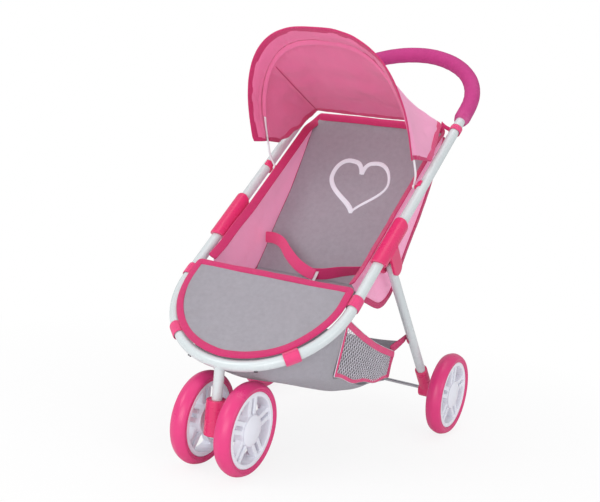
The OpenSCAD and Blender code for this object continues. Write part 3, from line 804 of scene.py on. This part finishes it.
def seat_edge_spine(f):
    """The edge tape: up the left side, round the corner, across the hem and down the right side."""
    start, side_len, corner, hem = 36, 318, 14, 196
    total = 2 * side_len + 2 * corner + hem
    run = f * total
    sign = -1
    if run > total / 2:
        run, sign = total - run, 1
    side_inward = (PLANE_X * -sign * 8.5 - PLANE_H * 6.0).normalized()
    if run < side_len:
        x, h = rail(start + run)
        return at(sign * x, start + run, h), side_inward
    rail_x, rail_h = rail(start + side_len)
    turn = smooth((run - side_len) / corner)
    along_hem = max(run - side_len - corner, 0) / (hem / 2)
    x = rail_x - 7 * turn - along_hem * (rail_x - 7)
    place = at(sign * x, start + side_len + 11.5 * sin(turn * pi / 2), lerp(rail_h, -1.4, turn))
    inward = side_inward.lerp(-PLANE_S * 0.912 - PLANE_H * 0.409, turn).normalized()
    return place + PLANE_H * 0.6 * MM * sin(x * 0.05), inward


side_pieces = [(side_panel(sign, side), seam_tape(sign, side)) for sign, side in SIDES]
seat_edge = tape("seat_edge_tape", seat_edge_spine, 12.5, 2.4, DARK_TAPE, 170, 0.5, ["seat_binding"])

BACK_LENGTH = run_along(lambda f: through(BACK_LINE, f))(1)
HEART_V = 0.391
HEART_ROWS = 3  # rows of thread on each side of the middle row


def heart_stroke(t):
    """The embroidered heart in millimetres on the back panel: across and up, t from 0 to 1 all round."""
    a = 2 * pi * t
    x = 16 * sin(a) ** 3
    y = 13 * cos(a) - 5 * cos(2 * a) - 2 * cos(3 * a) - cos(4 * a)
    dip = 6.5 * smooth(1 - abs(x) / 7) * smooth(y / 3)
    return x * 2.9, y * 2.6 + 1.25 * max(y - 5, 0) + dip


def back_surface(x, up, lift):
    """A point lift over the back panel's front face, up millimetres along it from the heart's middle."""
    u = (x + SEAT_X) / (2 * SEAT_X)
    v = HEART_V - up / BACK_LENGTH
    place = back_point(u, v)
    normal = (back_point(u + 0.01, v) - place).cross(place - back_point(u, v + 0.01)).normalized()
    return place + normal * lift * MM


def heart_row(row):
    """One row of thick thread. The rows run side by side, part and cross, like a brush stroke."""
    start, end, path = 0.004 * abs(row), 1 - 0.005 * abs(row), []
    for i in range(91):
        t = lerp(start, end, i / 90)
        x, y = heart_stroke(t)
        x1, y1 = heart_stroke(min(t + 0.004, 1))
        across = Vector((y1 - y, x - x1, 0))
        across = across.normalized() if across.length > 1e-6 else PLANE_X
        spread = 2.8 - 1.5 * smooth((t - 0.12) / 0.15) * smooth((0.56 - t) / 0.08)
        push = row / HEART_ROWS * spread + 0.8 * noise(Vector((t * 11, row * 4.1, 0)))
        lift = lerp(1.15, 0.75, abs(row) / HEART_ROWS)
        path.append(back_surface(x + across.x * push - y * 0.08, y + across.y * push, lift))
    return rod(f"heart_thread_{row + HEART_ROWS}", path, 0.72, THREAD_WHITE, "frame", sides=6)


heart_rows = [heart_row(row) for row in range(-HEART_ROWS, HEART_ROWS + 1)]

# ---------- front apron ----------

APRON_R, APRON_S, APRON_H = 117, 25, 9.0


def apron_point(u, v):
    a = pi * (u - 0.5)
    inner = APRON_R - 3
    x = inner * sin(a)
    s = lerp(APRON_S - 3, -inner * cos(a), v)
    reach = hypot(x, min(s, 0)) / inner
    middle_sag = 3.4 * (1 - min(reach, 1) ** 2) * smooth((APRON_S - s) / 40)
    # pleats fan out round the bow and fade before the tape
    turn = atan2(x, -s + 60)
    pleats = 1.2 * sin(turn * 24 + 2 * noise(Vector((x, s, 0)) * 0.03)) * smooth(-s / 50)
    pleats *= smooth((reach - 0.55) / 0.3) * smooth((0.97 - reach) / 0.1)
    place = at(x, s, APRON_H - middle_sag + pleats)
    return place + PLANE_H * folds(place, 17, 1.2) * smooth((0.96 - reach) * 7)


def apron_edge_spine(f):
    """Round the bow, up the sides, round two corners and across the rear edge, where its ends overlap."""
    r, top, corner = APRON_R + 1, APRON_S + 1, 7
    half_rear, quarter, rise = r - corner, corner * pi / 2, top - corner
    total = 2 * (half_rear + quarter + rise + r * pi / 2)
    run, sign = (1.03 * f - 0.015) * total, 1
    if run > total / 2:
        run, sign = total - run, -1
    if run < half_rear:
        x, s, way_x, way_s = run, top, 0, -1
    elif run < half_rear + quarter:
        a = (run - half_rear) / corner
        x, s, way_x, way_s = half_rear + corner * sin(a), rise + corner * cos(a), -sin(a), -cos(a)
    elif run < half_rear + quarter + rise:
        x, s, way_x, way_s = r, half_rear + quarter + rise - run, -1, 0
    else:
        a = (run - half_rear - quarter - rise) / r
        x, s, way_x, way_s = r * cos(a), -r * sin(a), -cos(a), sin(a)
    inward = PLANE_X * sign * way_x + PLANE_S * way_s + PLANE_H * 0.10
    return at(sign * x, s, APRON_H - 0.8 + 0.5 * sin(run * 0.07)), inward.normalized()


apron = grid_sheet("front_apron_cloth", 64, 46, apron_point, GREY_CLOTH, ["front_apron"], 1.2)
apron_edge = tape("front_apron_tape", apron_edge_spine, 10, 4.0, DARK_TAPE, 200, 0.35, ["apron_binding"])

# ---------- straps round the tubes ----------

LOOP_ANGLE, LOOP_S, LOOP_SPAN = radians(43), 8, 187


def tube_loop(name, centre, along, across, r, width, finish, span, lift, body="frame"):
    """Tape round a tube from -span to span degrees, with its ends raised by lift; across is square to it."""
    up = along.cross(across).normalized()

    def route(f):
        a = radians(lerp(-span, span, f))
        reach = r + 1.0 + lift * (2 * abs(f - 0.5)) ** 6 + 0.25 * noise(Vector((a * 2, 0, width)))
        return centre + (across * cos(a) + up * sin(a)) * reach * MM, along
    return strap(name, route, width, 1.3, finish, 44, body=body)


for sign, side in SIDES:
    on_bow = at(sign * BOW_R * sin(LOOP_ANGLE), -BOW_R * cos(LOOP_ANGLE), 0)
    along = PLANE_X * cos(LOOP_ANGLE) + PLANE_S * sign * sin(LOOP_ANGLE)
    tube_loop(f"bow_loop_{side}", on_bow, along, -PLANE_H, TUBE_R, 20, BRIGHT_TAPE, LOOP_SPAN,
                           0.9)
    tube_loop(f"side_loop_{side}", at(sign * BOW_R, LOOP_S, 0), PLANE_S, -PLANE_H, TUBE_R, 18, BRIGHT_TAPE,
              LOOP_SPAN, 0.9)
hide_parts("strap_loops")

# ---------- lap belt ----------


def belt(name, width, thick, finish, stands_for, steps, points):
    """A belt through points (x, s, h, lean): lean turns its width from the frame plane's s axis towards h."""
    line = [p[:3] for p in points]
    leans = [(i * 40, p[3], 0) for i, p in enumerate(points)]

    def route(f):
        lean = through(leans, f).y
        way = through(line, min(f + 0.02, 1)) - through(line, max(f - 0.02, 0))
        way = (PLANE_X * way.x + PLANE_S * way.y + PLANE_H * way.z).normalized()
        across = PLANE_S * cos(lean) + PLANE_H * sin(lean)
        return at(*through(line, f)), (across - way * across.dot(way)).normalized()
    return strap(name, route, width, thick, finish, steps, [stands_for])


belt("lap_belt_left", 16, 1.5, BRIGHT_TAPE, "belt_left", 56, [
    (-102, 150, -64, 0.9), (-84, 147, -60, 0.8), (-66, 138, -57, 0.6), (-46, 120, -56, 0.5),
    (-24, 104, -57, 0.5), (-6, 97, -60, 0.5), (7, 95, -62, 0.5)])
belt("lap_belt_right", 16, 1.5, DARK_TAPE, "belt_right", 44, [
    (-2, 97, -64, 0.95), (20, 101, -63, 1.15), (44, 106, -58, 1.45), (74, 112, -54, 1.7),
    (101, 122, -52, 1.75)])
belt("lap_belt_tab", 17, 1.2, TAB_WHITE, "belt_tab", 12, [
    (1, 96, -62.6, 0.5), (6, 95.5, -63.2, 0.5), (10.5, 95, -63.8, 0.5)])

# ---------- basket ----------

BASKET_X = 107
# Corners of a mesh pocket as (y, z, 0)
POCKET_TOP_FRONT, POCKET_TOP_REAR = Vector((-134, 203, 0)), Vector((23, 135, 0))
POCKET_LOW_FRONT, POCKET_LOW_REAR = Vector((-145, 129, 0)), Vector((26, 95, 0))


def basket_point(u, v):
    """The bag: from under the bow, down its front, back along a sagging floor and up its rear wall."""
    a = (u - 0.5) * pi
    x, c = sin(a), cos(a)
    side = abs(x)
    wall = side ** 6
    rise = 9 * side ** 4
    bow = at((BOW_R - 4) * x, 9 - (BOW_R + 3) * c, -9) / MM
    if side > 0.985:
        corner = Vector((copysign(BASKET_X + 6, x), *POCKET_TOP_FRONT.xy))
        bow = lerp(bow, corner, (side - 0.985) / 0.015)
    front = Vector((BASKET_X * x, POCKET_LOW_FRONT.x - 58 * c, 121 + 8 * side ** 2))
    knots = [bow, lerp(bow, front, 0.55) + Vector((0, -2.5 * c, 0)), front,
             Vector((BASKET_X * x, -118, 98 + rise + 16 * wall)),
             Vector((BASKET_X * x, -62, 86 + rise * 0.9 + 8 * wall)),
             Vector((BASKET_X * x, -10, 83.5 + rise + 6 * wall)),
             Vector((BASKET_X * x, 22, 88 + rise * 0.7)),
             Vector((BASKET_X * x * 0.99, 31 + 2 * side, 112)),
             Vector((BASKET_X * x + copysign(3 * wall, x), 35 + 9 * wall, 143 + rise / 3))]
    place = through(knots, v) * MM
    crease = sin(place.x * 130 + noise(place * 20) * 3) * 0.9 * MM * smooth((0.35 - v) / 0.3) * smooth(v * 9)
    edge = min(u * 1.6, (1 - u) * 1.6, v, 1 - v)
    hang = (folds(place, 13, 3.2) + folds(place, 32, 1.1)) * smooth(edge * 9)
    return place + Vector((0, -0.5, -1)).normalized() * (hang + crease)


basket = grid_sheet("basket_bag_cloth", 84, 84, basket_point, GREY_CLOTH, ["basket"], 1.2)


def pocket_point(sign, u, v, out):
    """A point of a pocket, out beyond its sloping side: u from front to rear, v from top to bottom."""
    top, low = lerp(POCKET_TOP_FRONT, POCKET_TOP_REAR, u), lerp(POCKET_LOW_FRONT, POCKET_LOW_REAR, u)
    top.y -= 5.5 * sin(pi * u)
    low.y += -7 * sin(pi * u) + 1.6 * sin(u * 15)
    place = lerp(top, low, v)
    return world(sign * (lerp(BASKET_X + 7, BASKET_X + 1.5, v) + out), place.x, place.y)


def pocket_mesh(sign, side):
    """Netting in a diamond mesh, bellied a little outwards."""
    bm = bmesh.new()
    bmesh.ops.create_grid(bm, x_segments=24, y_segments=10, size=1)
    squares = [e for e in bm.edges if not e.is_boundary]
    bmesh.ops.poke(bm, faces=bm.faces)
    bmesh.ops.dissolve_edges(bm, edges=squares, use_verts=False)
    pattern = bm.loops.layers.uv.new("pattern")
    for vert in bm.verts:
        u, v = (vert.co.x + 1) / 2, (vert.co.y + 1) / 2
        for loop in vert.link_loops:
            loop[pattern].uv = (u * 0.17, v * 0.06)
        vert.co = pocket_point(sign, u, v, 1.5 * sin(pi * u) * sin(pi * v))
    piece = new_piece(f"basket_netting_{side}", bm, MESH_CLOTH)
    add_modifier(piece, "WIREFRAME", thickness=1.3 * MM, use_even_offset=False, use_boundary=True)
    return attach(settle(piece), "frame", [f"basket_mesh_{side}"])


# Tape on a pocket's edges: (u, v) at f along the edge and further in, width, thickness, finish, steps, ruffle
POCKET_TAPES = {
    "top": (lambda f: (f, 0), lambda f: (f, 0.2), 9.5, 3.0, BRIGHT_TAPE, 44, 1.6),
    "rear": (lambda f: (1, f), lambda f: (0.9, f), 8.5, 2.8, DARK_TAPE, 24, 0.8),
    "low": (lambda f: (f, 1), lambda f: (f, 0.9), 5.0, 2.6, BRIGHT_TAPE, 50, 1.6),
    "front": (lambda f: (0, f), lambda f: (0.1, f), 4.5, 2.4, BRIGHT_TAPE, 24, 0.8),
}


def pocket_tape(sign, side, place_name):
    edge, further_in, width, thick, finish, steps, ruffle = POCKET_TAPES[place_name]

    def spine(f):
        place = pocket_point(sign, *edge(f), 0.4)
        inward = pocket_point(sign, *further_in(f), 0.4) - place
        inward.x = 0
        return place, inward.normalized()
    return tape(f"pocket_{place_name}_tape_{side}", spine, width, thick, finish, steps, ruffle)


# Straps that tie the basket's rear corners to the rear legs
STRAP_AT = 152
PIVOT = at(0, PIVOT_S, -PIVOT_DROP)
LEG_WAY = middle("rear_axle") - PIVOT
LEG_WAY.x = 0
LEG_WAY.normalize()
LEG_X = middle("rear_leg_right").x / MM
LEG_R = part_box("rear_leg_right")[1].x / MM - LEG_X

nettings, net_edges, leg_straps = [], [], []
for sign, side in SIDES:
    nettings.append(pocket_mesh(sign, side))
    net_edges.append([pocket_tape(sign, side, place_name) for place_name in POCKET_TAPES])
    on_leg = PIVOT + LEG_WAY * STRAP_AT * MM + PLANE_X * sign * LEG_X * MM
    leg_straps.append(tube_loop(f"leg_strap_{side}", on_leg, LEG_WAY, -PLANE_X * sign, LEG_R, 9, DARK_TAPE,
                                75, 0.6, "rear_frame"))
    corner = world(sign * (BASKET_X + 2), POCKET_TOP_REAR.x - 2, POCKET_TOP_REAR.y + 1)
    strap_end = on_leg - PLANE_X * sign * (LEG_R + 1.6) * MM + world(0, -0.2, 0)

    def tie_route(f):
        place = lerp(corner, strap_end, f) - world(0, 0, 0.8 * sin(pi * f))
        turn = lerp(0.2, 0.9, f)
        return place, (Vector((0, -0.35, 1)) * cos(turn) + Vector((0, 1, 0.4)) * sin(turn)).normalized()
    tie = strap(f"basket_tie_{side}", tie_route, 13, 1.6, DARK_TAPE, 20, body=None)
    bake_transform(tie)
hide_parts("basket_straps")

# ---------- hood ----------

CLIP_Y, CLIP_Z = (at(0, CLIP_S, 0) / MM).yz
WIRE_LEAN, FRONT_LEAN, SEAM = radians(28), radians(27), radians(42)
ARCH_POWER = 2.6
WIRE_FOOT = radians(4.2)
WIRE_V = 0.30
HOOD_MID = Vector((0, CLIP_Y - 20, CLIP_Z + 40))
LOW_CORNER = Vector((122, CLIP_Y + 23, CLIP_Z + 36))
TIED_CORNER = Vector((102, CLIP_Y + 94, CLIP_Z + 88))


def arch(a, half_width, height, lean, foot):
    """A rounded arch over the clips, leaning forwards; a is 0 at its right foot and pi at its left one."""
    c, s = cos(a), abs(sin(a)) ** (2 / ARCH_POWER)
    y, z = foot
    return Vector((half_width * copysign(abs(c) ** (2 / ARCH_POWER), c), CLIP_Y - y - height * s * sin(lean),
                   CLIP_Z + z + height * s * cos(lean)))


def wire_at(a, outside=0.0):
    foot = (19 * sin(WIRE_LEAN), 19 * cos(WIRE_LEAN))
    return arch(a, BOW_R - 8.3 + outside, 181 + outside, WIRE_LEAN, foot)


def hood_front(a):
    return arch(a, BOW_R - 0.2, 176, FRONT_LEAN, (46, 37))


def hood_rear(a):
    """The rear edge: from a low corner up to the tied corner, then straight across."""
    b = min(a, pi - a)
    if b < SEAM:
        f = b / SEAM
        place = lerp(LOW_CORNER, TIED_CORNER, f)
        place.z -= 5.0 * sin(pi * f) - 1.3 * sin(f * 19)
    else:
        f = (b - SEAM) / (pi / 2 - SEAM)
        place = Vector((TIED_CORNER.x * (1 - f), TIED_CORNER.y, TIED_CORNER.z - 1.2 * sin(pi * f / 2)))
    if a >= pi / 2:
        place.x = -place.x
    return place


def over_wire(a, outside=0.0):
    """Where the cloth passes the wire, from hem level up."""
    return wire_at(lerp(WIRE_FOOT, pi - WIRE_FOOT, a / pi), outside)


def outwards(place):
    """The way out of the hood's middle, mostly across and up."""
    out = place - HOOD_MID
    out.y *= 0.25
    return out.normalized()


def hump(distance, width):
    return exp(-(distance / width) ** 2)


def seam_u(v):
    """The side seam runs from the wire to the tied corner."""
    return lerp(0.263, SEAM / pi, (v - WIRE_V) / (1 - WIRE_V))


def hood_point(u, v):
    """The hood's cloth: v is 0 at its front edge, WIRE_V at the wire and 1 at its rear edge."""
    a, b = pi * u, min(u, 1 - u)
    front, over, rear = hood_front(a), over_wire(a, 2.4), hood_rear(a)
    behind = (v - WIRE_V) / (1 - WIRE_V)
    if v < WIRE_V:
        place = lerp(front, over, v / WIRE_V)
        gap = (over - front).length * (1 - v / WIRE_V)
        slack = 2.6 * sin(pi * v / WIRE_V)
    else:
        place = lerp(over, rear, behind)
        gap = (rear - over).length * behind
        slack = 3.4 * sin(pi * behind) * (1 - 0.3 * smooth((abs(cos(a)) - 0.55) / 0.4))
    # the channel round the wire stands up between two stitched rows
    channel = 1.5 * hump(gap, 3.6) - 1.0 * hump(gap - 7.0, 1.6)
    spot = place * MM
    edge = smooth(min(v * 9, (1 - v) * 6))
    soft = (noise(spot * 12) * 4.4 + noise(spot * 30 + Vector((5, 2, 1))) * 3.2) * edge
    # short puckers run away from the sewn edges
    pucker = 0.5 * sin(u * 170 + 5 * noise(spot * 30)) * (hump(gap - 9, 6) + 0.25 * hump(1 - v, 0.05))
    # the cloth is drawn into creases that fan out from each tied corner
    across, along = (b - SEAM / pi) * 3, 1 - v
    reach = hypot(across, along)
    soft += 1.8 * sin(atan2(along, across) * 10) * exp(-reach / 0.4) * smooth(reach * 4 - 0.3) * edge
    seam = 1.5 * hump(b - seam_u(v), 0.007) * smooth((v - WIRE_V) / 0.05)
    lift = channel - slack + soft * (1 - 0.75 * hump(gap, 6)) + pucker - seam
    return (place + outwards(place) * lift) * MM


def even_v(v):
    """Sets more rows of the mesh by the wire, where the channel is."""
    if v < WIRE_V:
        f = v / WIRE_V
        return WIRE_V * (f * 0.75 + 0.25 * sin(f * pi / 2))
    f = (v - WIRE_V) / (1 - WIRE_V)
    return WIRE_V + (1 - WIRE_V) * (0.55 * f + 0.45 * (1 - cos(f * pi / 2)))


def hood_tape(name, edge, further_in, width, finish, steps):
    """Tape folded over an edge of the hood: edge and further_in give (u, v) at f."""
    def spine(f):
        place = hood_point(*edge(f))
        inward = (hood_point(*further_in(f)) - place).normalized()
        return place - inward * MM, inward
    return tape(name, spine, width, 2.4, finish, steps, 0.5, body=None)


def channel_point(u, v):
    """The strip sewn inside the hood that holds the wire."""
    a = pi * lerp(0.06, 0.94, u)
    on_wire, along_cloth = over_wire(a), (hood_rear(a) - hood_front(a)).normalized()
    across = lerp(-4.8, 4.8, v) + 0.5 * noise(Vector((u * 60, 3, 0)))
    wrap = sag(across, 5.4) ** 0.8
    return (on_wire + along_cloth * across + outwards(on_wire) * (2.9 - 5.2 * wrap + 0.35 * sin(u * 330))) * MM


def seam_rod(sign, side):
    """The thin ridge of each side seam inside the hood."""
    path = []
    for i in range(61):
        v = lerp(WIRE_V + 0.03, 0.985, i / 60)
        place = hood_point(seam_u(v) if sign > 0 else 1 - seam_u(v), v)
        path.append(place + (HOOD_MID * MM - place).normalized() * 0.8 * MM)
    return rod(f"hood_seam_{side}", path, 0.65, DARK_TAPE, None, sides=8)


# The grid's faces look inwards, so the lining is its first material and the outside is its second
hood = grid_sheet("hood_cloth", 150, 56, lambda u, v: hood_point(u, even_v(v)), HOOD_INNER, thickness=0.9,
                  body=None, lining=HOOD_CLOTH)
hood_pieces = [
    hood_tape("hood_front_tape", lambda f: (f, 0), lambda f: (f, 0.12), 10.5, DARK_TAPE, 170),
    hood_tape("hood_rear_tape", lambda f: (f, 1), lambda f: (f, 0.86), 14.5, BRIGHT_TAPE, 170),
    hood_tape("hood_side_hem_right", lambda f: (0, even_v(f)), lambda f: (0.05, even_v(f)), 7, DARK_TAPE, 50),
    hood_tape("hood_side_hem_left", lambda f: (1, even_v(f)), lambda f: (0.95, even_v(f)), 7, DARK_TAPE, 50),
    grid_sheet("hood_wire_channel", 120, 10, channel_point, HOOD_INNER, thickness=0.7, body=None),
]
hood_pieces += [seam_rod(sign, side) for sign, side in SIDES]
for piece in [hood] + hood_pieces:
    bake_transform(piece)
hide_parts("canopy_hood")


def hood_wire():
    """The wire bow, with an eye at each foot that turns on the clip's peg."""
    eye = Vector((BOW_R - 12.3, CLIP_Y, CLIP_Z))
    foot = eye + Vector((0, 0, 2))
    path = [foot] + [wire_at(pi * i / 60) for i in range(61)] + [Vector((-foot.x, foot.y, foot.z))]
    fine = [through(path, i / 150) * MM for i in range(151)]
    rod("hood_wire", fine, 1.5, WIRE_WHITE, "canopy", ["canopy_wire"], sides=12)
    ring = [(1.9, -1.4), (2.9, -1.6), (3.5, -0.9), (3.5, 0.9), (2.9, 1.6), (1.9, 1.4)]
    for sign, side in SIDES:
        spun(f"hood_wire_eye_{side}", ring, world(sign * eye.x, eye.y, eye.z), WIRE_WHITE, "canopy", steps=32)


hood_wire()

# Bands that tie the hood's rear corners to the side tubes
TIE_S = 356
for sign, side in SIDES:
    on_tube = at(sign * BOW_R, TIE_S, 0)
    tube_loop(f"hood_tie_{side}", on_tube, PLANE_S, -PLANE_X * sign, TUBE_R, 10, BRIGHT_TAPE,
                               183, 0.8)
    corner = world(sign * TIED_CORNER.x, TIED_CORNER.y, TIED_CORNER.z)
    cord_end = at(sign * (BOW_R - TUBE_R - 1.2), TIE_S, 1)

    def cord_route(f):
        place = lerp(corner, cord_end, f) - world(0, 0, 1.2 * sin(pi * f))
        return place, (PLANE_S * 0.8 + PLANE_H * 0.6).normalized()
    strap(f"hood_tie_cord_{side}", cord_route, 6.0, 2.2, DARK_TAPE, 14)
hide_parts("canopy_ties")

# ---------- pocket nettings and their edge tapes ---

for netting, edges in zip(nettings, net_edges):
    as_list(edges)
